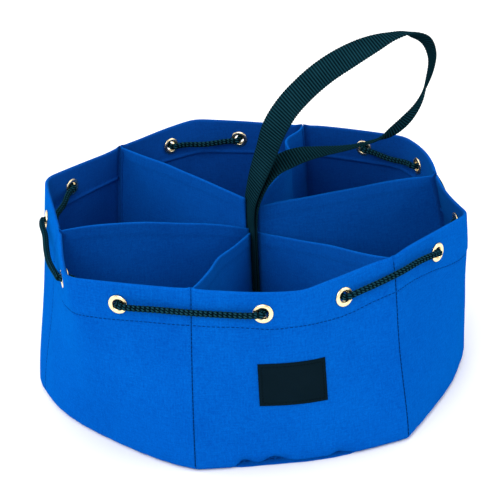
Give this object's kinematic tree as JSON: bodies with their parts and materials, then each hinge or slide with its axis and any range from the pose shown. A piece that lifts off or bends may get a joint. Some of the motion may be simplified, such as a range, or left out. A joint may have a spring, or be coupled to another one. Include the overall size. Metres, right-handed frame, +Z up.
{
  "type": "drawstring parts bag",
  "caption": "Low round open tool bag of cloth with wedge-shaped compartments, a webbing carry loop at its middle and a drawcord through grommets below the rim.",
  "frame": {"origin": "middle of the base on the floor", "axes": "+Z up, the panel with the label faces -Y, the strap leans towards +X"},
  "size_m": [0.2969, 0.2887, 0.235],
  "materials": {
    "cloth": "plain-woven, royal blue, matt with a slight coated sheen",
    "webbing": "black ribbed webbing",
    "cord": "black braided cord",
    "grommets": "polished brass",
    "label": "plain black woven patch"
  },
  "bodies": {
    "root": {"wall_panel_front": "cloth", "wall_panel_front_right": "cloth", "wall_panel_back_right": "cloth", "wall_panel_back": "cloth", "wall_panel_back_left": "cloth", "wall_panel_front_left": "cloth", "base": "cloth", "divider_right": "cloth", "divider_back_right": "cloth", "divider_back_left": "cloth", "divider_left": "cloth", "divider_front_left": "cloth", "divider_front_right": "cloth", "strap": "webbing", "drawcord": "cord", "grommet_01": "grommets", "grommet_02": "grommets", "grommet_03": "grommets", "grommet_04": "grommets", "grommet_05": "grommets", "grommet_06": "grommets", "grommet_07": "grommets", "grommet_08": "grommets", "grommet_09": "grommets", "grommet_10": "grommets", "grommet_11": "grommets", "grommet_12": "grommets", "label": "label"}
  },
  "joints": []
}
